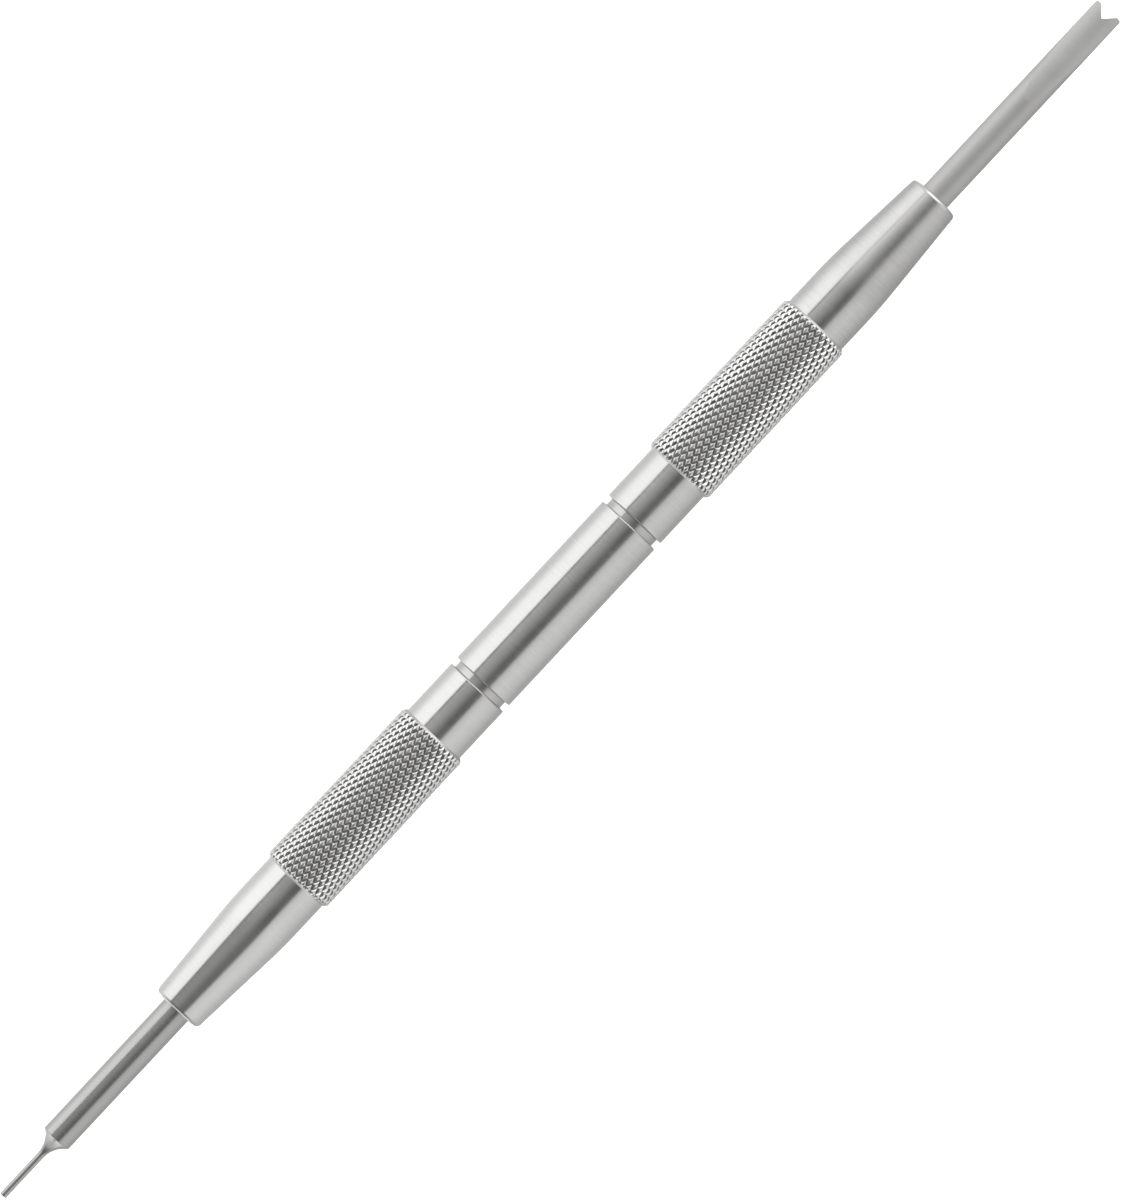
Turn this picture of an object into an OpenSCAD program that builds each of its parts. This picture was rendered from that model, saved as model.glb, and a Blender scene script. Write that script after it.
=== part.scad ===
// Double-ended spring bar tool: a slim steel handle with a forked blade at one end and a fine push
// pin at the other, for fitting and removing watch straps.
//
// The handle is three turned pieces. A plain barrel is tapped at both ends, a short double-ended stud
// sits in each hole, and a knurled grip screws onto each stud up to the stud's collar, which shows as
// a narrow neck. Each grip is bored at its nose for a tip with a threaded tail, so a worn fork or pin
// unscrews and is replaced.
//
// Millimetres. +X runs along the tool towards the fork, +Z is up, and the tool lies on its two knurled
// bands with the fork's faces facing up and down. The origin is below the middle of the barrel.

/* [Handle] */
// Length of the plain barrel between the two necks
barrel_len = 19.1; // [19:0.1:40]
// Diameter of the barrel, and of the smooth collar at the rear of each grip
barrel_d = 6.35; // [6:0.05:6.5]
// Length of each neck, which is the collar of a coupling stud
neck_len = 0.75; // [0.4:0.05:2]
// Diameter of each neck
neck_d = 5.45; // [4.8:0.05:5.9]

/* [Grips] */
// Length of the smooth collar behind the knurling
collar_len = 5.7; // [4:0.1:12]
// Length of the knurled band
knurl_len = 18; // [14:0.5:30]
// Diameter over the knurling
knurl_d = 7.1; // [7.1:0.05:8]
// Chamfer at each end of the knurled band
knurl_chamfer = 0.3; // [0.1:0.05:0.3]
// Length of the straight part of the nose
nose_straight_len = 5.15; // [3:0.05:10]
// Diameter of the straight part of the nose
nose_d = 6.4; // [6:0.05:6.5]
// Length of the tapered part of the nose
nose_taper_len = 10.5; // [8:0.1:16]
// Diameter that the taper comes down to at the mouth
mouth_d = 4.95; // [4.4:0.05:5.8]
// Radius that rounds the mouth over
mouth_round = 0.4; // [0.1:0.05:0.5]
// Size of the small chamfer that breaks a turned edge
edge_break = 0.08; // [0.02:0.01:0.15]

/* [Tips] */
// Diameter of the round shank of each tip
shank_d = 2.9; // [2.6:0.05:3]
// How far each tip stands out of its grip
tip_reach = 22.85; // [20:0.05:30]
// Depth of the smooth socket that centres a shank in its grip
socket_depth = 6; // [4:0.5:8]
// Diameter of the push pin
pin_d = 0.68; // [0.6:0.01:1]
// Length of the push pin
pin_len = 4.95; // [3:0.05:7]
// Length of the hollow-cut flare between the pin and its shank
flare_len = 2.1; // [1.5:0.05:3]
// Length of the wedge ground on both sides of the fork
blade_len = 11; // [8:0.5:18]
// Thickness of the fork at the middle of its end
blade_end_t = 1.3; // [1.1:0.05:1.6]
// Radius across the crowned faces of the fork
blade_crown_r = 2.2; // [2.1:0.05:2.6]
// Depth of the fork's V notch
notch_depth = 1; // [0.6:0.05:1.1]
// Angle between the notch's flanks
notch_angle = 85; // [60:1:90]
// Radius at the root of the notch
notch_root_r = 0.12; // [0.05:0.01:0.2]
// Radius on the outer corners of the prongs
prong_corner_r = 0.24; // [0.1:0.02:0.4]

/* [Threads] */
// Outside diameter of the threads that hold the grips
stud_thread_d = 4; // [3.6:0.1:4]
// Pitch of those threads
stud_pitch = 0.7; // [0.5:0.1:0.8]
// Length of thread on each side of a stud's collar
stud_thread_len = 6; // [4:0.5:7]
// Outside diameter of the thread on the tail of each tip
tail_thread_d = 2; // [1.8:0.1:2]
// Pitch of the tail's thread
tail_pitch = 0.4; // [0.3:0.05:0.45]
// Length of the tail's thread
tail_thread_len = 6; // [4:0.5:8]
// Radial clearance of every thread and shank in its hole
fit_gap = 0.03; // [0.02:0.01:0.06]

/* [Hidden] */
$fn = 96;

axis_z = knurl_d / 2;                          // height of the tool's axis above the table
grip_rear_x = barrel_len / 2 + neck_len;       // where a grip seats on its stud's collar
grip_len = collar_len + knurl_len + nose_straight_len + nose_taper_len;
mouth_x = grip_rear_x + grip_len;              // end face of a grip's nose
seat_x = mouth_x - socket_depth;               // shoulder that a tip screws down to
tip_end_x = mouth_x + tip_reach;

drill_point_angle = 118;                       // included angle at the bottom of a drilled hole
hole_spare = 0.6;                              // hole left past the end of a thread
thread_depth_per_pitch = 0.6134;               // depth of a 60 degree metric thread
countersink = 0.25;                            // depth and width of a tapped hole's countersink
relief_pitches = 1.5;                          // length of the relief groove beside a shoulder
flare_steps = 16;                              // straight pieces in the flare's arc
mouth_steps = 8;                               // straight pieces in the mouth's rounding
overcut = 1;                                   // how far a cutting shape runs past what it cuts

// Turns a profile of [distance along the axis, radius] points about the +X axis.
module turned(profile) {
    rotate([0, 90, 0])
        rotate_extrude()
            polygon([for (p = profile) [p[1], p[0]]]);
}

// Lifts the tool's axis to its height above the table, and turns a piece to face the pin end
// where side is -1.
module placed(side = 1) {
    translate([0, 0, axis_z])
        rotate([0, 0, side > 0 ? 0 : 180])
            children();
}

// A turned bar with both of its end edges broken.
module turned_bar(x0, x1, d) {
    r = d / 2;
    turned([
        [x0, 0], [x0, r - edge_break], [x0 + edge_break, r],
        [x1 - edge_break, r], [x1, r - edge_break], [x1, 0]
    ]);
}

// The crest and root points of a thread that runs from x0 to x1, drawn as a row of rings: each pitch
// has a flat root, a flank up, a flat crest and a flank down.
function thread_points(x0, x1, d, pitch) =
    let (
        turns = floor((x1 - x0) / pitch),
        start = x1 - turns * pitch,
        crest_r = d / 2,
        root_r = crest_r - thread_depth_per_pitch * pitch
    )
    [
        for (k = [0 : turns - 1])
            let (x = start + k * pitch)
            each [
                [x, root_r], [x + pitch * 0.25, root_r],
                [x + pitch * 0.55, crest_r], [x + pitch * 0.7, crest_r]
            ]
    ];

// A screw thread along the axis from its shoulder at x0 to its end at x1, with a relief groove at the
// shoulder and a lead-in at the end.
module screw_thread(x0, x1, d, pitch) {
    root_r = d / 2 - thread_depth_per_pitch * pitch;
    thread_x0 = x0 + relief_pitches * pitch;
    turned(concat(
        [[x0, 0], [x0, root_r]],
        thread_points(thread_x0, x1 - pitch / 2, d, pitch),
        [[x1 - pitch / 2, root_r], [x1, root_r - pitch / 4], [x1, 0]]
    ));
}

// A hole along the axis for such a thread: it opens at x0, is countersunk there, and ends in a
// drill point past depth.
module tapped_hole(x0, d, depth) {
    r = d / 2 + fit_gap;
    point_len = r / tan(drill_point_angle / 2);
    turned([
        [x0 - overcut, 0], [x0 - overcut, r + countersink], [x0, r + countersink],
        [x0 + countersink, r], [x0 + depth, r], [x0 + depth + point_len, 0]
    ]);
}

// ---- Handle ----

module centre_barrel() {
    hole_depth = stud_thread_len + hole_spare;
    color("lightgray")
        placed()
            difference() {
                turned_bar(-barrel_len / 2, barrel_len / 2, barrel_d);
                for (side = [0, 180])
                    rotate([0, 0, side])
                        mirror([1, 0, 0])
                            tapped_hole(-barrel_len / 2, stud_thread_d, hole_depth);
            }
}

// Double-ended stud: a collar between two threads.
module coupling_stud(side) {
    collar_x = barrel_len / 2;
    placed(side) {
        turned_bar(collar_x, collar_x + neck_len, neck_d);
        screw_thread(collar_x + neck_len, collar_x + neck_len + stud_thread_len, stud_thread_d, stud_pitch);
        translate([2 * collar_x, 0, 0])
            mirror([1, 0, 0])
                screw_thread(collar_x, collar_x + stud_thread_len, stud_thread_d, stud_pitch);
    }
}

module fork_coupling_stud() {
    color("silver") coupling_stud(1);
}

module pin_coupling_stud() {
    color("silver") coupling_stud(-1);
}

// ---- Grips ----

// Points of the arc that rounds the mouth, from the taper to the end face.
function mouth_arc(end_x, end_r) = [
    for (k = [0 : mouth_steps])
        let (a = 90 * k / mouth_steps)
        [end_x - mouth_round * (1 - sin(a)), end_r - mouth_round * (1 - cos(a))]
];

// One grip, drawn pointing along +X: smooth collar, knurled band, straight nose, taper and mouth.
module grip_body() {
    knurl_x0 = grip_rear_x + collar_len;
    knurl_x1 = knurl_x0 + knurl_len;
    taper_x0 = knurl_x1 + nose_straight_len;
    turned(concat(
        [
            [grip_rear_x, 0], [grip_rear_x, barrel_d / 2 - edge_break],
            [grip_rear_x + edge_break, barrel_d / 2], [knurl_x0, barrel_d / 2],
            [knurl_x0, knurl_d / 2 - knurl_chamfer], [knurl_x0 + knurl_chamfer, knurl_d / 2],
            [knurl_x1 - knurl_chamfer, knurl_d / 2], [knurl_x1, knurl_d / 2 - knurl_chamfer],
            [knurl_x1, nose_d / 2], [taper_x0, nose_d / 2]
        ],
        mouth_arc(mouth_x, mouth_d / 2),
        [[mouth_x, 0]]
    ));
}

// Smooth socket for a tip's shank, open at the mouth.
module shank_socket() {
    r = shank_d / 2 + fit_gap;
    turned([
        [seat_x, 0], [seat_x, r], [mouth_x - countersink / 2, r],
        [mouth_x, r + countersink / 2], [mouth_x + overcut, r + countersink / 2], [mouth_x + overcut, 0]
    ]);
}

module grip(side) {
    placed(side)
        difference() {
            grip_body();
            tapped_hole(grip_rear_x, stud_thread_d, stud_thread_len + hole_spare);
            shank_socket();
            translate([2 * seat_x, 0, 0])
                mirror([1, 0, 0])
                    tapped_hole(seat_x, tail_thread_d, tail_thread_len + hole_spare);
        }
}

module fork_grip() {
    color("gainsboro") grip(1);
}

module pin_grip() {
    color("gainsboro") grip(-1);
}

// ---- Tips ----

// The threaded tail behind a shank's shoulder.
module tip_tail() {
    translate([2 * seat_x, 0, 0])
        mirror([1, 0, 0])
            screw_thread(seat_x, seat_x + tail_thread_len, tail_thread_d, tail_pitch);
}

// What is left under one ground face of the fork: a thicker round bar that touches the shank's top where
// the grind starts and tilts down to the fork's end, so that the face is crowned.
module blade_grind() {
    r = shank_d / 2;
    tilt = atan((r - blade_end_t / 2) / blade_len);
    translate([tip_end_x - blade_len, 0, r])
        rotate([0, 90 + tilt, 0])
            translate([blade_crown_r, 0, 0])
                cylinder(h = 2 * (tip_end_x - seat_x), r = blade_crown_r, center = true);
}

// The V notch, with a round root, cut down through the blade.
module fork_notch() {
    half_angle = notch_angle / 2;
    root_x = tip_end_x - notch_depth + notch_root_r;
    tangent_x = root_x - notch_root_r * sin(half_angle);
    tangent_y = notch_root_r * cos(half_angle);
    far_x = tip_end_x + overcut;
    far_y = tangent_y + (far_x - tangent_x) * tan(half_angle);
    linear_extrude(height = 2 * shank_d, center = true)
        polygon([[tangent_x, -tangent_y], [far_x, -far_y], [far_x, far_y], [tangent_x, tangent_y]]);
    translate([root_x, 0, 0])
        cylinder(h = 2 * shank_d, r = notch_root_r, center = true);
}

// Height at which the fork's faces meet its round sides, at its end.
function fork_edge_h() =
    let (sunk = blade_crown_r - blade_end_t / 2)
    (pow(blade_crown_r, 2) - pow(shank_d / 2, 2) - pow(sunk, 2)) / (2 * sunk);

// What is taken off the outer corner of one prong to leave it round.
module prong_corner(side) {
    half_w = sqrt(pow(shank_d / 2, 2) - pow(fork_edge_h(), 2));
    translate([tip_end_x - prong_corner_r, side * (half_w - prong_corner_r), 0])
        difference() {
            translate([0, side > 0 ? 0 : -shank_d, -shank_d])
                cube([shank_d, shank_d, 2 * shank_d]);
            cylinder(h = 3 * shank_d, r = prong_corner_r, center = true);
        }
}

module fork_tip() {
    color("darkgray")
        placed() {
            difference() {
                intersection() {
                    turned_bar(seat_x, tip_end_x + overcut, shank_d);
                    blade_grind();
                    mirror([0, 0, 1])
                        blade_grind();
                }
                translate([tip_end_x, -shank_d, -shank_d])
                    cube(2 * shank_d);
                fork_notch();
                for (side = [-1, 1])
                    prong_corner(side);
            }
            tip_tail();
        }
}

// Points of the flare: an arc that leaves the pin along the axis and meets the shank's edge.
function flare_arc(x0) =
    let (
        rise = (shank_d - pin_d) / 2,
        arc_r = (pow(flare_len, 2) + pow(rise, 2)) / (2 * rise),
        sweep = 2 * atan(rise / flare_len)
    )
    [
        for (k = [flare_steps : -1 : 0])
            let (a = sweep * k / flare_steps)
            [x0 + flare_len - arc_r * sin(a), pin_d / 2 + arc_r * (1 - cos(a))]
    ];

module pin_tip() {
    flare_x0 = tip_end_x - pin_len - flare_len;
    pin_r = pin_d / 2;
    color("darkgray")
        placed(-1) {
            turned(concat(
                [[seat_x, 0], [seat_x, shank_d / 2 - edge_break], [seat_x + edge_break, shank_d / 2]],
                flare_arc(flare_x0),
                [[tip_end_x - edge_break, pin_r], [tip_end_x, pin_r - edge_break], [tip_end_x, 0]]
            ));
            tip_tail();
        }
}

centre_barrel();
fork_coupling_stud();
pin_coupling_stud();
fork_grip();
pin_grip();
fork_tip();
pin_tip();
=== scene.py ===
import math
from collections import namedtuple

import bmesh
import bpy
import numpy as np
from mathutils import Matrix, Vector


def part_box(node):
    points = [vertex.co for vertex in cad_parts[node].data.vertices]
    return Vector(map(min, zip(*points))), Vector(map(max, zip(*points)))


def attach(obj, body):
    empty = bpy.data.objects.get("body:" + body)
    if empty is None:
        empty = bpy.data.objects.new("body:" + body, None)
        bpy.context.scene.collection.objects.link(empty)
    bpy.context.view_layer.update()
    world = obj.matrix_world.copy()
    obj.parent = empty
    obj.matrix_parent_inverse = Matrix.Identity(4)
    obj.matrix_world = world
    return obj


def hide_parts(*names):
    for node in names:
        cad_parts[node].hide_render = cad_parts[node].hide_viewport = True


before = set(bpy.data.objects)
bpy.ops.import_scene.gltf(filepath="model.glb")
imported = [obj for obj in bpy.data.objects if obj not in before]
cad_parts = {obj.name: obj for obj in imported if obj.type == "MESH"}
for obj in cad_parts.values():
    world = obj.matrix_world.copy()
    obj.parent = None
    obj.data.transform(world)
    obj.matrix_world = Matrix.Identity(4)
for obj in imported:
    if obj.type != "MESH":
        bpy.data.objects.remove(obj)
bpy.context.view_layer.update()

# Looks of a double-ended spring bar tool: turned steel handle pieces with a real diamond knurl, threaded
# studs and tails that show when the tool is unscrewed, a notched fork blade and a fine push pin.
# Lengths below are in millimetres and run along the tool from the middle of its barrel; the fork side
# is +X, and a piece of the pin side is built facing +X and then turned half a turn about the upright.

MM = 0.001

# ---- Sizes read from the frame ----


def node_mm(node):
    """Lowest and highest corner of a CAD node, in millimetres."""
    return [np.array(corner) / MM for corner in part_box(node)]


grip_low, grip_high = node_mm("fork_grip")
barrel_low, barrel_high = node_mm("centre_barrel")
stud_low, stud_high = node_mm("fork_coupling_stud")
tip_low, tip_high = node_mm("fork_tip")

AXIS_Z = (grip_low[2] + grip_high[2]) / 2
KNURL_R = (grip_high[2] - grip_low[2]) / 2
BARREL_R = (barrel_high[2] - barrel_low[2]) / 2
BARREL_END = barrel_high[0]
NECK_R = (stud_high[2] - stud_low[2]) / 2
GRIP_REAR = grip_low[0]
MOUTH = grip_high[0]
SHANK_R = (tip_high[2] - tip_low[2]) / 2
TIP_END = tip_high[0]

# ---- Sizes of the features inside a piece ----

COLLAR_LEN = 5.7
KNURL_LEN = 18.0
KNURL_CHAMFER = 0.3
KNURL_STEP = 0.02
NOSE_R = 3.2
NOSE_STRAIGHT_LEN = 5.15
TAPER_BLEND_R = 45
MOUTH_R = 2.475
MOUTH_ROUND = 0.4
SOCKET_DEPTH = 6.0
PIN_R = 0.34
PIN_LEN = 4.95
FLARE_LEN = 2.1
BLADE_LEN = 11.0
BLADE_END_T = 1.3
BLADE_CROWN_R = 2.2
NOTCH_DEPTH = 1.0
NOTCH_ANGLE = math.radians(85)
NOTCH_ROOT_R = 0.12
PRONG_CORNER_R = 0.24
STUD_THREAD = namedtuple("Thread", "radius pitch length")(2.0, 0.7, 6.0)
TAIL_THREAD = namedtuple("Thread", "radius pitch length")(1.0, 0.4, 6.0)
FIT_GAP = 0.03
HOLE_SPARE = 0.6
COUNTERSINK = 0.25
DRILL_POINT = math.radians(118)
EDGE = 0.1
SMALL_EDGE = 0.04

SEAT = MOUTH - SOCKET_DEPTH

# Diamond knurl: two crossed families of V grooves.
KNURL_STARTS = 34
KNURL_DEPTH = 0.17
KNURL_DIAMOND_LEN = 1.2545
CELL = 12                 # mesh steps along each side of a diamond's box
GROOVE_HALF = 3.5 / 12    # half width of a groove, as a share of the groove spacing

# Screw threads. Depths and lengths are in pitches.
THREAD_DEPTH = 0.6134     # of an outside thread
TAPPED_DEPTH = 0.25       # of the groove that a tap leaves in a hole's wall
RUN_OUT = 0.5             # length over which a thread fades out
RELIEF_LEN = 1.2          # of the plain neck between a shoulder and its thread
LEAD_IN = 0.7             # how fast the end of a stud or tail narrows, as radius over length
SHOULDER_ROOT = 0.75      # where a shoulder starts, as a share of its thread's radius
# Profile over one pitch: place, and height from 0 at the root to 1 at the crest.
THREAD_PROFILE = [
    (0, 0.0), (0.125, 0.0), (0.28125, 0.5), (0.4375, 1.0), (0.5625, 1.0), (0.71875, 0.5), (0.875, 0.0),
]

COLUMNS = KNURL_STARTS * CELL // 4    # columns round every plain turned surface
SUPPORT = 0.06                        # gap between a rounded edge and the ring that keeps its flat side flat
LONGEST_STEP = 1.5                    # longest gap between two rings
NOTCH_STEP = 0.12                     # longest gap between two points round the fork's notched end

Station = namedtuple("Station", "x radius zone", defaults=(0,))


# ---- Outlines ----


def rounded(points, steps=4):
    """An outline of (a, b, rounding) points as (a, b) points, with each corner rounded by its own radius."""
    outline = []
    for k, (a, b, rounding) in enumerate(points):
        corner = np.array([a, b], float)
        if not rounding or k in (0, len(points) - 1):
            outline.append(corner)
            continue
        before = np.array(points[k - 1][:2], float) - corner
        after = np.array(points[k + 1][:2], float) - corner
        reach_before, reach_after = np.linalg.norm(before), np.linalg.norm(after)
        before, after = before / reach_before, after / reach_after
        half_corner = math.acos(np.clip(before @ after, -1, 1)) / 2
        cut = min(rounding / math.tan(half_corner), 0.49 * reach_before, 0.49 * reach_after)
        for t in np.linspace(0, 1, steps + 1):
            outline.append(corner + before * cut * (1 - t) ** 2 + after * cut * t**2)
    return outline


def stations(outline, zone=0):
    """Stations along an outline of (x, radius) points, with extra rings beside its corners so that flat
    stretches shade flat."""
    found = []
    for (x0, r0), (x1, r1) in zip(outline, outline[1:]):
        length = math.hypot(x1 - x0, r1 - r0)
        found.append(Station(x0, r0, zone))
        if length < 4 * SUPPORT:
            continue
        inner = np.linspace(SUPPORT, length - SUPPORT, max(2, math.ceil(length / LONGEST_STEP) + 1))
        found += [Station(x0 + (x1 - x0) * s / length, r0 + (r1 - r0) * s / length, zone) for s in inner]
    found.append(Station(*outline[-1], zone))
    return found


def helix(low, high, thread, radius_at, zone):
    """Stations of a right-hand thread from low up to high. Each ring climbs one pitch as it goes round, so
    that it stays on one line of the thread, and is held between low and high. radius_at gives the radius
    for places along the axis and a height of the thread's profile."""
    pitch = thread.pitch
    turn = np.arange(COLUMNS) / COLUMNS
    base = math.floor(low / pitch) - 1
    laps = math.ceil(high / pitch) - base
    lines = [(lap + phase, height) for lap in range(laps) for phase, height in THREAD_PROFILE]
    found = []
    for line, height in lines + [(laps, 0.0)]:
        x = np.clip(pitch * (base + line + turn), low, high)
        found.append(Station(x, radius_at(x, height), zone))
    return found


def outside_thread(x0, x1, thread, zone=0):
    """Stations of a screw thread from its relief groove at x0 to its end at x1, which may lie on either
    side."""
    way = 1 if x1 > x0 else -1
    depth = THREAD_DEPTH * thread.pitch
    root = thread.radius - depth
    start = x0 + way * RELIEF_LEN * thread.pitch

    def radius_at(x, height):
        fade = np.minimum(1, np.abs(x - start) / (RUN_OUT * thread.pitch))
        crest = thread.radius - LEAD_IN * np.maximum(0, thread.pitch - np.abs(x1 - x))
        return np.minimum(root + depth * fade * height, crest)

    lines = helix(min(start, x1), max(start, x1), thread, radius_at, zone)[::way]
    return [Station(x0, root, zone)] + lines + [Station(x1, 0, zone)]


def tapped_hole(x0, way, thread):
    """Stations of a tapped hole, from the drill point on the axis out to the countersink's rim at x0. way
    is the direction into the metal."""
    bore = thread.radius + FIT_GAP
    depth = thread.length + HOLE_SPARE
    point = bore / math.tan(DRILL_POINT / 2)
    deep, shallow = x0 + way * thread.length, x0 + way * COUNTERSINK

    def radius_at(x, height):
        from_end = np.minimum(np.abs(x - deep), np.abs(x - shallow))
        fade = np.minimum(1, from_end / (RUN_OUT * thread.pitch))
        return bore + TAPPED_DEPTH * thread.pitch * fade * height

    lines = helix(min(deep, shallow), max(deep, shallow), thread, radius_at, 1)[::-way]
    bottom = [Station(x0 + way * (depth + point), 0, 1), Station(x0 + way * depth, bore, 1)]
    return bottom + lines + [Station(x0, bore + COUNTERSINK, 1)]


def knurled_band(x0, zone):
    """Stations of the knurled band from x0. Its rings and columns are spaced so that mesh edges run along
    the grooves, and both of its ends are chamfered."""
    rows = round(KNURL_LEN / KNURL_DIAMOND_LEN * CELL)
    columns = np.arange(KNURL_STARTS * CELL)
    found = []
    for row in range(rows + 1):
        along = KNURL_LEN * row / rows
        grooves = [np.abs(((columns + hand * row) / CELL + 0.5) % 1 - 0.5) for hand in (1, -1)]
        depth = KNURL_DEPTH * np.clip(1 - np.minimum(*grooves) / GROOVE_HALF, 0, 1)
        chamfer = KNURL_R - max(0, KNURL_CHAMFER - min(along, KNURL_LEN - along))
        found.append(Station(x0 + along, np.minimum(KNURL_R - depth, chamfer), zone))
    return found


# ---- Meshes ----


class Skin:
    """A closed mesh put together from rings of points. zone is the material that a face takes, and start
    the angle from +Y towards +Z at which a turned ring has its first point."""

    def __init__(self, start=0.0):
        self.points, self.faces, self.zones = [], [], []
        self.start = start

    def add(self, points):
        first = len(self.points)
        self.points += [tuple(p) for p in points]
        return np.arange(first, first + len(points))

    def face(self, corners, zone):
        self.faces.append([int(c) for c in corners])
        self.zones.append(zone)

    def band(self, a, b, zone):
        """Joins two rings. They have as many points as each other, or one has a whole number of times
        the other's, or one is a single point on the axis."""
        if len(a) > len(b):
            a, b = b, a
        n, times = len(a), len(b) // len(a)
        if n == 1:
            for k in range(len(b)):
                self.face((a[0], b[k], b[(k + 1) % len(b)]), zone)
            return
        for k in range(n):
            here, there = a[k], a[(k + 1) % n]
            if times == 1:
                self.face((here, there, b[(k + 1) % n], b[k]), zone)
                continue
            fine = [b[(k * times + j) % len(b)] for j in range(times + 1)]
            self.face((here, there, fine[1]), zone)
            self.face((here, fine[1], fine[0]), zone)
            for j in range(1, times):
                self.face((there, fine[j + 1], fine[j]), zone)

    def helix_band(self, a, b, a_on, b_on, zone):
        """Joins two rings of a thread. a_on and b_on are the rings one turn further on, where the last
        points of a and b carry on."""
        for k in range(len(a)):
            last = k == len(a) - 1
            a_next = a_on[0] if last else a[k + 1]
            b_next = b_on[0] if last else b[k + 1]
            corners = (a[k], a_next, b[k]) if a_next == b_next else (a[k], a_next, b_next, b[k])
            self.face(corners, zone)

    def diamond_band(self, a, b, row, zone):
        """Joins two rings of the knurled band by triangles whose long sides lie along the grooves."""
        n = len(a)
        columns = np.arange(n) + 0.5
        climbing = np.abs(((columns + (row + 0.5)) / CELL + 0.5) % 1 - 0.5)
        falling = np.abs(((columns - (row + 0.5)) / CELL + 0.5) % 1 - 0.5)
        for k in range(n):
            nxt = (k + 1) % n
            if climbing[k] < falling[k]:
                self.face((a[k], a[nxt], b[k]), zone)
                self.face((a[nxt], b[nxt], b[k]), zone)
            else:
                self.face((a[k], a[nxt], b[nxt]), zone)
                self.face((a[k], b[nxt], b[k]), zone)

    def turn(self, found):
        """Turns a row of stations about the axis and returns the last ring."""
        rings = [self.add(ring_points(s, self.start)) for s in found]
        further = one_turn_on(found)
        row = 0
        for k, (a, b, station) in enumerate(zip(rings, rings[1:], found)):
            if len(a) == len(b) == KNURL_STARTS * CELL:
                self.diamond_band(a, b, row, station.zone)
                row += 1
            elif on_helix(station) and on_helix(found[k + 1]):
                self.helix_band(a, b, rings[further[k]], rings[further[k + 1]], station.zone)
            else:
                self.band(a, b, station.zone)
        return rings[-1]

    def piece(self, name, side, materials, sharp_angle=32):
        """The finished object: in metres, in the row frame, with its faces outward."""
        mesh = bpy.data.meshes.new(name)
        facing = np.array([side, side, 1])
        lift = np.array([0, 0, AXIS_Z])
        mesh.from_pydata([(np.array(p) * facing + lift) * MM for p in self.points], [], self.faces)
        mesh.polygons.foreach_set("material_index", self.zones)
        work = bmesh.new()
        work.from_mesh(mesh)
        bmesh.ops.remove_doubles(work, verts=work.verts, dist=0.0002 * MM)
        bmesh.ops.recalc_face_normals(work, faces=work.faces)
        work.to_mesh(mesh)
        work.free()
        mesh.shade_smooth()
        mesh.set_sharp_from_angle(angle=math.radians(sharp_angle))
        for material in materials:
            mesh.materials.append(material)
        obj = bpy.data.objects.new(name, mesh)
        bpy.context.collection.objects.link(obj)
        return obj


def on_helix(station):
    """Whether a station's ring climbs along the axis as it goes round."""
    return np.ndim(station.x) == 1


def one_turn_on(found):
    """For each station, the number of the one that a helix reaches a turn later: its own off a helix, and
    the end of the helix where it runs out."""
    further = list(range(len(found)))
    k = 0
    while k < len(found):
        end = k
        while end + 1 < len(found) and on_helix(found[k]) and on_helix(found[end + 1]):
            end += 1
        if end > k:
            climbs = np.sum(found[end].x) > np.sum(found[k].x)
            step = len(THREAD_PROFILE) if climbs else -len(THREAD_PROFILE)
            further[k:end + 1] = [min(max(j + step, k), end) for j in range(k, end + 1)]
        k = end + 1
    return further


def ring_points(station, start):
    """The points of one station's ring, or its one point where it lies on the axis."""
    if np.isscalar(station.radius) and station.radius == 0:
        return [(station.x, 0, 0)]
    radius = np.broadcast_to(station.radius, np.shape(station.radius) or (COLUMNS,))
    angle = start + 2 * math.pi * np.arange(len(radius)) / len(radius)
    x = np.broadcast_to(station.x, radius.shape)
    return np.stack([x, radius * np.cos(angle), radius * np.sin(angle)], axis=1)


# ---- Materials ----


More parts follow.
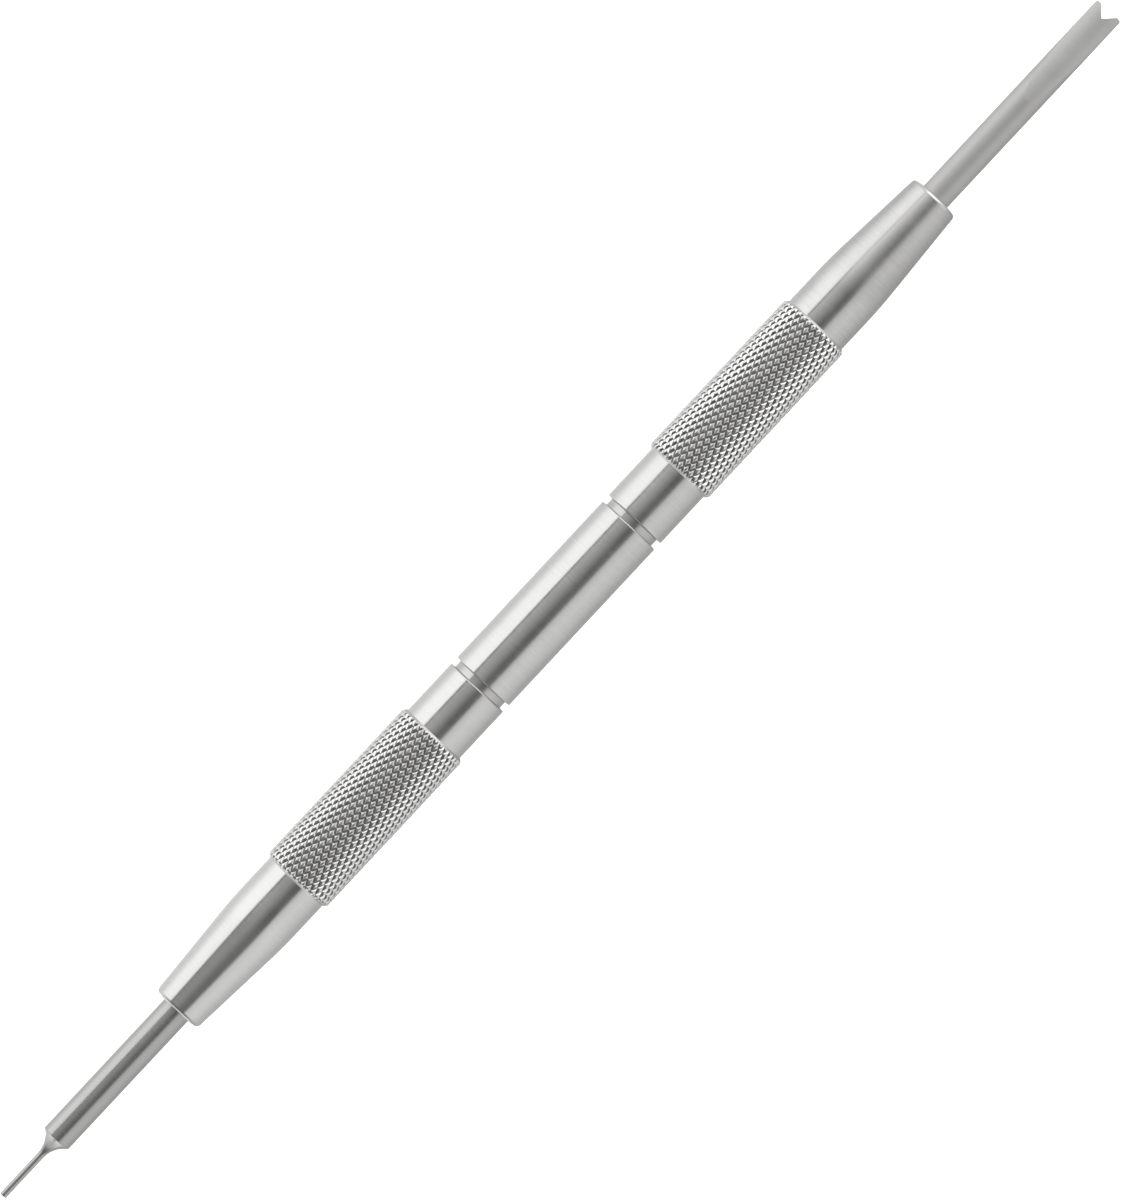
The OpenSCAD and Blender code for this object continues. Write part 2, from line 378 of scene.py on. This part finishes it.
class Nodes:
    """Short ways to wire a material."""

    def __init__(self, name):
        self.material = bpy.data.materials.new(name)
        self.material.use_nodes = True
        self.tree = self.material.node_tree
        self.shader = self.tree.nodes["Principled BSDF"]

    def add(self, kind, **settings):
        node = self.tree.nodes.new(kind)
        for key, value in settings.items():
            setattr(node, key, value)
        return node

    def set(self, socket, value):
        if isinstance(value, bpy.types.NodeSocket):
            self.tree.links.new(value, socket)
        else:
            socket.default_value = value

    def math(self, operation, a, b=0.0):
        node = self.add("ShaderNodeMath", operation=operation)
        self.set(node.inputs[0], a)
        self.set(node.inputs[1], b)
        return node.outputs[0]

    def noise(self, vector, scale, detail=2.0, roughness=0.5):
        node = self.add("ShaderNodeTexNoise")
        self.set(node.inputs["Vector"], vector)
        self.set(node.inputs["Scale"], scale)
        self.set(node.inputs["Detail"], detail)
        self.set(node.inputs["Roughness"], roughness)
        return node.outputs["Fac"]

    def scaled(self, vector, factors):
        node = self.add("ShaderNodeVectorMath", operation="MULTIPLY")
        self.set(node.inputs[0], vector)
        self.set(node.inputs[1], factors)
        return node.outputs[0]

    def between(self, value, low, high, to_low, to_high):
        """value, mapped from low..high to to_low..to_high and held there."""
        node = self.add("ShaderNodeMapRange")
        for socket, setting in zip(("Value", "From Min", "From Max", "To Min", "To Max"),
                                   (value, low, high, to_low, to_high)):
            self.set(node.inputs[socket], setting)
        return node.outputs["Result"]

    def mix(self, factor, a, b):
        node = self.add("ShaderNodeMix", data_type="RGBA")
        self.set(node.inputs["Factor"], factor)
        self.set(node.inputs["A"], a)
        self.set(node.inputs["B"], b)
        return node.outputs["Result"]

    def bump(self, height, distance, strength=1.0):
        node = self.add("ShaderNodeBump")
        self.set(node.inputs["Height"], height)
        self.set(node.inputs["Distance"], distance)
        self.set(node.inputs["Strength"], strength)
        self.set(self.shader.inputs["Normal"], node.outputs["Normal"])


def grey(level):
    """A steel grey with the faint warmth of stainless steel."""
    return (level, level * 0.995, level * 0.98, 1)


def steel(name, level, roughness, anisotropy=0.0, lines=0.0, line_turn=(1, 0.03, 0.03), grain=0.0,
          spread=0.05):
    """Stainless steel with machining lines. level is its grey, lines the height of the lines in
    millimetres, line_turn the shares of X, Y and Z that the lines vary along, grain the height of a fine
    blasted grain and spread how far the roughness wanders."""
    n = Nodes(name)
    place = n.scaled(n.add("ShaderNodeTexCoord").outputs["Object"], (1 / MM,) * 3)
    cuts = n.noise(n.scaled(place, line_turn), 9.0, detail=4.0, roughness=0.65)
    cloud = n.noise(place, 0.35, detail=3.0)
    fine = n.noise(place, 24.0, detail=2.0)
    shade = n.math("ADD", n.math("MULTIPLY", cuts, 0.6), n.math("MULTIPLY", cloud, 0.4))
    colour = n.mix(n.between(shade, 0.3, 0.7, 0, 1), grey(level * 0.93), grey(level * 1.05))
    n.set(n.shader.inputs["Base Color"], colour)
    wander = n.math("ADD", n.math("MULTIPLY", cuts, 0.5), n.math("MULTIPLY", cloud, 0.5))
    n.set(n.shader.inputs["Roughness"], n.between(wander, 0.3, 0.7, roughness - spread, roughness + spread))
    n.shader.inputs["Metallic"].default_value = 1.0
    if anisotropy:
        n.shader.inputs["Anisotropic"].default_value = anisotropy
        n.shader.inputs["Anisotropic Rotation"].default_value = 0.25
        tangent = n.add("ShaderNodeTangent", direction_type="RADIAL", axis="X")
        n.set(n.shader.inputs["Tangent"], tangent.outputs[0])
    height = n.math("ADD", n.math("MULTIPLY", cuts, lines), n.math("MULTIPLY", fine, grain))
    n.bump(height, MM)
    return n.material


def knurled_steel(name, level, roughness):
    """Steel of the knurled band: smoother on the crests of its diamonds and rougher in its grooves, with
    painted shade that darkens its colour from a lighter grey on the crests down into the grooves."""
    n = Nodes(name)
    place = n.scaled(n.add("ShaderNodeTexCoord").outputs["Object"], (1 / MM,) * 3)
    axes = n.add("ShaderNodeSeparateXYZ")
    n.set(axes.inputs[0], place)
    up = n.math("SUBTRACT", axes.outputs["Z"], AXIS_Z)
    out = n.math("SQRT", n.math("ADD", n.math("POWER", axes.outputs["Y"], 2.0), n.math("POWER", up, 2.0)))
    crest = n.between(out, KNURL_R - KNURL_DEPTH, KNURL_R, 0, 1)
    fine = n.noise(place, 14.0, detail=3.0)
    crest_polish_and_groove_shade = n.math("ADD", crest, n.math("MULTIPLY", n.math("SUBTRACT", fine, 0.5), 0.35))
    # Painted shade: the grey darkens from the crests down into the grooves, mottled by fine noise.
    colour = n.mix(n.between(crest_polish_and_groove_shade, 0.0, 0.6, 0, 1), grey(level * 0.8), grey(level * 1.04))
    n.set(n.shader.inputs["Base Color"], colour)
    n.set(n.shader.inputs["Roughness"], n.between(crest_polish_and_groove_shade, 0.0, 0.8, roughness * 1.25, roughness * 0.9))
    n.shader.inputs["Metallic"].default_value = 1.0
    n.bump(fine, MM * 0.006)
    return n.material


handle_steel = steel("handle_steel", 0.62, 0.19, anisotropy=0.7, lines=0.0026, grain=0.0012)
bore_steel = steel("bore_steel", 0.42, 0.4, lines=0.002)
knurl_steel = knurled_steel("knurl_steel", 0.68, 0.14)
stud_steel = steel("stud_steel", 0.54, 0.24, anisotropy=0.6, lines=0.002)
pin_steel = steel("pin_steel", 0.46, 0.28, anisotropy=0.6, lines=0.0018, grain=0.0006)
fork_steel = steel("fork_steel", 0.56, 0.53, lines=0.001, grain=0.002, spread=0.04)
ground_steel = steel(
    "ground_steel", 0.56, 0.52, lines=0.002, line_turn=(1, 0.05, 0.2), grain=0.001, spread=0.04
)


# ---- Pieces ----


def keep(piece, body, node):
    """Puts a piece on its body and hides the node that it stands for."""
    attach(piece, body)
    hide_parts(node)


def make_barrel():
    """Plain barrel with a tapped hole in each end."""
    rim_r = STUD_THREAD.radius + FIT_GAP + COUNTERSINK
    wall = rounded([
        (-BARREL_END, rim_r, 0), (-BARREL_END, BARREL_R, EDGE),
        (BARREL_END, BARREL_R, EDGE), (BARREL_END, rim_r, 0),
    ])
    skin = Skin()
    left = tapped_hole(-BARREL_END, 1, STUD_THREAD)
    right = tapped_hole(BARREL_END, -1, STUD_THREAD)
    skin.turn(left[:-1] + stations(wall) + right[-2::-1])
    keep(skin.piece("barrel", 1, [handle_steel, bore_steel]), "barrel", "centre_barrel")


def make_stud(name, side):
    """Double-ended stud, whose collar shows as a neck between barrel and grip."""
    collar = rounded([
        (BARREL_END, SHOULDER_ROOT * STUD_THREAD.radius, 0), (BARREL_END, NECK_R, EDGE / 2),
        (GRIP_REAR, NECK_R, EDGE / 2), (GRIP_REAR, SHOULDER_ROOT * STUD_THREAD.radius, 0),
    ])
    skin = Skin()
    inner = outside_thread(BARREL_END, BARREL_END - STUD_THREAD.length, STUD_THREAD)
    outer = outside_thread(GRIP_REAR, GRIP_REAR + STUD_THREAD.length, STUD_THREAD)
    skin.turn(inner[::-1] + stations(collar) + outer)
    keep(skin.piece(name, side, [stud_steel]), "barrel", name)


def make_grip(name, side):
    """One grip: collar, knurled band, nose and taper, bored from both ends."""
    knurl_x0 = GRIP_REAR + COLLAR_LEN
    knurl_x1 = knurl_x0 + KNURL_LEN
    foot_r = KNURL_R - KNURL_CHAMFER - KNURL_STEP
    rear = rounded([
        (GRIP_REAR, STUD_THREAD.radius + FIT_GAP + COUNTERSINK, 0), (GRIP_REAR, BARREL_R, EDGE),
        (knurl_x0, BARREL_R, SMALL_EDGE), (knurl_x0, foot_r, 0),
    ])
    nose = rounded([
        (knurl_x1, foot_r, 0), (knurl_x1, NOSE_R, 0),
        (knurl_x1 + NOSE_STRAIGHT_LEN, NOSE_R, TAPER_BLEND_R), (MOUTH, MOUTH_R, MOUTH_ROUND),
        (MOUTH, SHANK_R + FIT_GAP + COUNTERSINK / 2, 0),
    ], steps=8)
    socket = [
        (MOUTH, SHANK_R + FIT_GAP + COUNTERSINK / 2), (MOUTH - COUNTERSINK / 2, SHANK_R + FIT_GAP),
        (SEAT, SHANK_R + FIT_GAP), (SEAT, TAIL_THREAD.radius + FIT_GAP + COUNTERSINK),
    ]
    skin = Skin()
    skin.turn(
        tapped_hole(GRIP_REAR, 1, STUD_THREAD)[:-1]
        + stations(rear)
        + knurled_band(knurl_x0, zone=2)
        + stations(nose)
        + stations(socket, zone=1)[1:]
        + tapped_hole(SEAT, -1, TAIL_THREAD)[-2::-1]
    )
    keep(skin.piece(name, side, [handle_steel, bore_steel, knurl_steel]), name, name)


def tail_and_shoulder(shank):
    """Stations of a tip's threaded tail and shoulder, then the outline shank, which starts on its
    shoulder."""
    return outside_thread(SEAT, SEAT - TAIL_THREAD.length, TAIL_THREAD)[::-1] + stations(shank)


def make_pin_tip():
    """Round shank with a hollow-cut flare down to the push pin."""
    flare_x0 = TIP_END - PIN_LEN - FLARE_LEN
    rise = SHANK_R - PIN_R
    arc_r = (FLARE_LEN**2 + rise**2) / (2 * rise)
    sweep = 2 * math.atan(rise / FLARE_LEN)
    flare = [
        (flare_x0 + FLARE_LEN - arc_r * math.sin(a), PIN_R + arc_r * (1 - math.cos(a)))
        for a in np.linspace(sweep, 0, 20)
    ]
    shank = rounded([
        (SEAT, SHOULDER_ROOT * TAIL_THREAD.radius, 0), (SEAT, SHANK_R, EDGE),
        (flare[0][0], SHANK_R, EDGE), (*flare[1], 0),
    ])
    pin = rounded([(*flare[-1], 0), (TIP_END, PIN_R, EDGE), (TIP_END, 0, 0)])
    skin = Skin()
    skin.turn(tail_and_shoulder(shank) + stations(flare[2:-1] + pin))
    keep(skin.piece("pin_tip", -1, [pin_steel]), "pin_tip", "pin_tip")


def blade_outline(half_width):
    """(x, y) points of the blade's end from one side to the other, round the V notch."""
    half_angle = NOTCH_ANGLE / 2
    apex = TIP_END - NOTCH_DEPTH - NOTCH_ROOT_R * (1 / math.sin(half_angle) - 1)
    mouth = (TIP_END - apex) * math.tan(half_angle)
    corners = [
        (TIP_END - 1, half_width, 0), (TIP_END, half_width, PRONG_CORNER_R), (TIP_END, mouth, 0.05),
        (apex, 0, NOTCH_ROOT_R),
        (TIP_END, -mouth, 0.05), (TIP_END, -half_width, PRONG_CORNER_R), (TIP_END - 1, -half_width, 0),
    ]
    outline = rounded(corners, steps=6)[1:-1]
    fine = []
    for a, b in zip(outline, outline[1:]):
        steps = math.ceil(math.dist(a, b) / NOTCH_STEP)
        fine += [a + (b - a) * k / steps for k in range(steps)]
    return fine + [outline[-1]]


def blade_heights(share):
    """Heights above the axis of the middle of a crowned face and of its edges, at a share of the blade's
    length."""
    middle = SHANK_R + (BLADE_END_T / 2 - SHANK_R) * share
    sunk = BLADE_CROWN_R - middle
    return middle, (BLADE_CROWN_R**2 - SHANK_R**2 - sunk**2) / (2 * sunk)


def make_fork_tip():
    """Round shank ground on both sides to a crowned blade with a V notch in its end."""
    blade_x0 = TIP_END - BLADE_LEN
    side_steps = COLUMNS // 2
    end = blade_outline(math.sqrt(SHANK_R**2 - blade_heights(1)[1] ** 2))
    end_x = np.array([x for x, _ in end])
    across = np.array([y for _, y in end])
    across /= across.max()
    turn = np.linspace(1, -1, side_steps + 1)[1:-1]

    def ring(share):
        """The blade's ring at a share of its length: upper face, side, lower face, side."""
        x_flat = blade_x0 + share * (end_x - blade_x0)
        share_flat = (x_flat - blade_x0) / BLADE_LEN
        middle, edge = blade_heights(share_flat)
        y_flat = across * np.sqrt(np.maximum(SHANK_R**2 - edge**2, 0))
        h = middle - BLADE_CROWN_R + np.sqrt(BLADE_CROWN_R**2 - y_flat**2)
        x_side = np.full(len(turn), x_flat[-1])
        angle = math.asin(min(1, edge[-1] / SHANK_R)) * turn
        y_side, z_side = SHANK_R * np.cos(angle), SHANK_R * np.sin(angle)
        return np.concatenate([
            np.stack([x_flat, y_flat, h], axis=1),
            np.stack([x_side, -y_side, z_side], axis=1),
            np.stack([x_flat[::-1], y_flat[::-1], -h[::-1]], axis=1),
            np.stack([x_side, y_side, -z_side], axis=1),
        ])

    shank = rounded([
        (SEAT, SHOULDER_ROOT * TAIL_THREAD.radius, 0), (SEAT, SHANK_R, EDGE), (blade_x0, SHANK_R, 0),
    ])
    skin = Skin(start=math.pi / 2)
    skin.turn(tail_and_shoulder(shank))
    rings = [skin.add(ring(share)) for share in np.linspace(0, 1, 40) ** 1.6]
    flat, side = len(end), len(turn)
    on_flat = [k % (flat + side) < flat - 1 for k in range(2 * (flat + side))]
    for a, b in zip(rings, rings[1:]):
        for k, ground in enumerate(on_flat):
            nxt = (k + 1) % len(a)
            skin.face((a[k], a[nxt], b[nxt], b[k]), 1 if ground else 0)
    last = rings[-1]
    upper, lower = last[:flat], last[flat + side:2 * flat + side][::-1]
    for k in range(flat - 1):
        skin.face((upper[k], upper[k + 1], lower[k + 1], lower[k]), 1)
    skin.face(last[flat - 1:flat + side + 1], 1)
    skin.face([*last[2 * flat + side - 1:], last[0]], 1)
    keep(skin.piece("fork_tip", 1, [fork_steel, ground_steel]), "fork_tip", "fork_tip")


make_barrel()
make_stud("fork_coupling_stud", 1)
make_stud("pin_coupling_stud", -1)
make_grip("fork_grip", 1)
make_grip("pin_grip", -1)
make_fork_tip()
make_pin_tip()


# ---- Studio ----

# Brightness of the surroundings. Each row holds for directions with one X part (towards the fork) and
# lists degrees from straight up towards +Y with their levels; between two rows it changes evenly.
SKY = [
    (-1.00, [(-180, 1.60), (-110, 1.20), (-80, 0.80), (80, 0.80), (110, 1.20), (180, 1.60)]),
    (-0.86, [(-180, 1.60), (-110, 1.20), (-80, 1.00), (80, 1.00), (110, 1.20), (180, 1.60)]),
    (-0.64, [(-180, 0.60), (-105, 0.60), (-80, 0.45), (-45, 0.10), (0, 0.07), (45, 0.12), (80, 0.60),
             (105, 1.00), (180, 1.10)]),
    (-0.42, [(-180, 0.50), (-105, 0.60), (-80, 0.50), (-45, 0.22), (0, 0.12), (45, 0.25), (80, 0.70),
             (105, 1.00), (180, 1.00)]),
    (-0.22, [(-180, 0.60), (-128, 0.72), (-106, 0.82), (-89, 0.97), (-74, 1.06), (-47, 1.06), (-37, 0.95),
             (-32, 0.20), (-12, 0.28), (12, 0.42), (35, 0.34), (43, 0.32), (45, 1.50), (74, 1.50),
             (89, 1.28), (106, 0.98), (128, 0.85), (180, 0.85)]),
    (-0.07, [(-180, 0.50), (-128, 0.64), (-106, 0.80), (-89, 0.92), (-60, 1.06), (-44, 0.98), (-32, 0.82),
             (-27, 0.14), (-12, 0.13), (12, 0.44), (30, 0.50), (37, 0.46), (38, 0.10), (42, 0.10),
             (43, 1.65), (89, 1.65), (100, 1.35), (106, 1.22), (128, 0.98), (180, 0.90)]),
    (0.02, [(-180, 0.45), (-128, 0.54), (-106, 0.72), (-89, 0.81), (-60, 0.89), (-44, 0.84), (-31, 0.70),
            (-26, 0.14), (-12, 0.09), (12, 0.34), (36, 0.50), (38, 0.48), (38.6, 0.05), (42.4, 0.05),
            (43, 1.42), (74, 1.42), (89, 1.32), (106, 1.00), (128, 0.86), (180, 0.80)]),
    (0.08, [(-180, 0.40), (-128, 0.48), (-106, 0.60), (-89, 0.68), (-60, 0.75), (-44, 0.72), (-29, 0.58),
            (-22, 0.22), (-11, 0.12), (12, 0.40), (34, 0.72), (38, 0.68), (38.6, 0.20), (42.4, 0.20),
            (43, 1.30), (66, 1.36), (82, 1.27), (106, 0.92), (128, 0.74), (180, 0.70)]),
    (0.22, [(-180, 0.36), (-128, 0.48), (-106, 0.56), (-89, 0.62), (-60, 0.68), (-36, 0.66), (-24, 0.50),
            (-12, 0.28), (0, 0.40), (12, 0.64), (26, 0.98), (36, 1.30), (40, 1.25), (43, 1.00),
            (50, 1.30), (66, 1.34), (89, 1.08), (106, 0.84), (128, 0.60), (180, 0.55)]),
    (0.42, [(-180, 0.45), (-100, 0.55), (-70, 0.95), (-50, 0.95), (-20, 0.36), (10, 0.30), (45, 0.65),
            (90, 0.95), (180, 0.80)]),
    (0.62, [(-180, 0.50), (-100, 0.60), (-75, 0.95), (-40, 1.10), (-24, 1.70), (0, 2.10), (40, 2.30),
            (58, 1.10), (90, 0.95), (180, 0.70)]),
    (0.80, [(-180, 0.70), (-80, 0.70), (-50, 0.90), (-24, 1.60), (0, 2.00), (40, 2.10), (60, 0.90),
            (180, 0.70)]),
    (0.95, [(-180, 1.60), (-100, 1.20), (-60, 1.60), (60, 1.60), (100, 1.20), (180, 1.60)]),
]
SKY_MAX = 2.4
FLOOR_SIZE = 4.0


def make_world():
    """Studio surroundings: a bright softbox along the +Y side, a softer one along -Y, a dark ceiling over
    the barrel and a lamp beyond the fork. The camera itself sees plain white."""
    world = bpy.data.worlds.new("studio")
    bpy.context.scene.world = world
    world.use_nodes = True
    tree = world.node_tree
    tree.nodes.clear()

    def add(kind, **settings):
        node = tree.nodes.new(kind)
        for key, value in settings.items():
            setattr(node, key, value)
        return node

    direction = add("ShaderNodeSeparateXYZ")
    tree.links.new(add("ShaderNodeTexCoord").outputs["Generated"], direction.inputs[0])
    angle = add("ShaderNodeMath", operation="ARCTAN2")
    tree.links.new(direction.outputs["Y"], angle.inputs[0])
    tree.links.new(direction.outputs["Z"], angle.inputs[1])

    def share(value, low, high):
        node = add("ShaderNodeMapRange")
        node.inputs["From Min"].default_value = low
        node.inputs["From Max"].default_value = high
        tree.links.new(value, node.inputs["Value"])
        return node.outputs[0]

    round_axis = share(angle.outputs[0], -math.pi, math.pi)
    seen, seen_x = None, None
    for x, row in SKY:
        ramp = add("ShaderNodeValToRGB")
        tree.links.new(round_axis, ramp.inputs[0])
        stops = ramp.color_ramp.elements
        while len(stops) < len(row):
            stops.new(0.5)
        for stop, (degrees, level) in zip(stops, row):
            stop.position = degrees / 360 + 0.5
            stop.color = (level / SKY_MAX,) * 3 + (1,)
        if seen is None:
            seen, seen_x = ramp.outputs["Color"], x
            continue
        blend = add("ShaderNodeMix", data_type="RGBA")
        tree.links.new(share(direction.outputs["X"], seen_x, x), blend.inputs["Factor"])
        tree.links.new(seen, blend.inputs["A"])
        tree.links.new(ramp.outputs["Color"], blend.inputs["B"])
        seen, seen_x = blend.outputs["Result"], x
    background = add("ShaderNodeBackground")
    background.inputs["Strength"].default_value = SKY_MAX
    tree.links.new(seen, background.inputs["Color"])
    white = add("ShaderNodeBackground")
    white.inputs["Strength"].default_value = 1.0
    white.inputs["Color"].default_value = (1, 1, 1, 1)
    shown = add("ShaderNodeMixShader")
    tree.links.new(add("ShaderNodeLightPath").outputs["Is Camera Ray"], shown.inputs[0])
    tree.links.new(background.outputs[0], shown.inputs[1])
    tree.links.new(white.outputs[0], shown.inputs[2])
    tree.links.new(shown.outputs[0], add("ShaderNodeOutputWorld").inputs["Surface"])


def make_floor():
    """Plain white floor, lit from straight above so that the tool's shadow stays under it."""
    n = Nodes("floor_white")
    n.shader.inputs["Base Color"].default_value = (0.85, 0.85, 0.85, 1)
    n.shader.inputs["Roughness"].default_value = 0.9
    n.shader.inputs["Specular IOR Level"].default_value = 0.0
    n.shader.inputs["Emission Color"].default_value = (1, 1, 1, 1)
    n.shader.inputs["Emission Strength"].default_value = 0.35
    half = FLOOR_SIZE / 2
    mesh = bpy.data.meshes.new("floor")
    corners = [(-half, -half, 0), (half, -half, 0), (half, half, 0), (-half, half, 0)]
    mesh.from_pydata(corners, [], [(0, 1, 2, 3)])
    mesh.materials.append(n.material)
    floor = bpy.data.objects.new("floor", mesh)
    bpy.context.collection.objects.link(floor)
    floor.visible_glossy = False
    lamp = bpy.data.lights.new("overhead", "SUN")
    lamp.energy = 3.0
    lamp.angle = math.radians(6)
    overhead = bpy.data.objects.new("overhead", lamp)
    overhead.location = (0, 0, 1)
    overhead.visible_glossy = False
    bpy.context.collection.objects.link(overhead)


def make_camera():
    """Straight above the tool, which lies at 47 degrees across the frame, fork to the upper right."""
    tilt = math.radians(46.97)
    right = Vector((math.cos(tilt), -math.sin(tilt), 0))
    up = Vector((math.sin(tilt), math.cos(tilt), 0))
    frame_height, distance, sensor = 0.10734, 0.641, 36.0
    shift_right, shift_up = 0.00051, 0.0003
    centre = Vector((0, 0, AXIS_Z * MM)) + right * shift_right + up * shift_up
    camera = bpy.data.cameras.new("camera")
    camera.sensor_width = sensor
    camera.lens = sensor * distance / frame_height
    camera.clip_start = 0.01
    holder = bpy.data.objects.new("camera", camera)
    place = Matrix((right, up, Vector((0, 0, 1)))).transposed().to_4x4()
    place.translation = centre + Vector((0, 0, distance))
    holder.matrix_world = place
    bpy.context.collection.objects.link(holder)
    bpy.context.scene.camera = holder


make_world()
make_floor()
make_camera()
bpy.context.scene.view_settings.view_transform = "Standard"
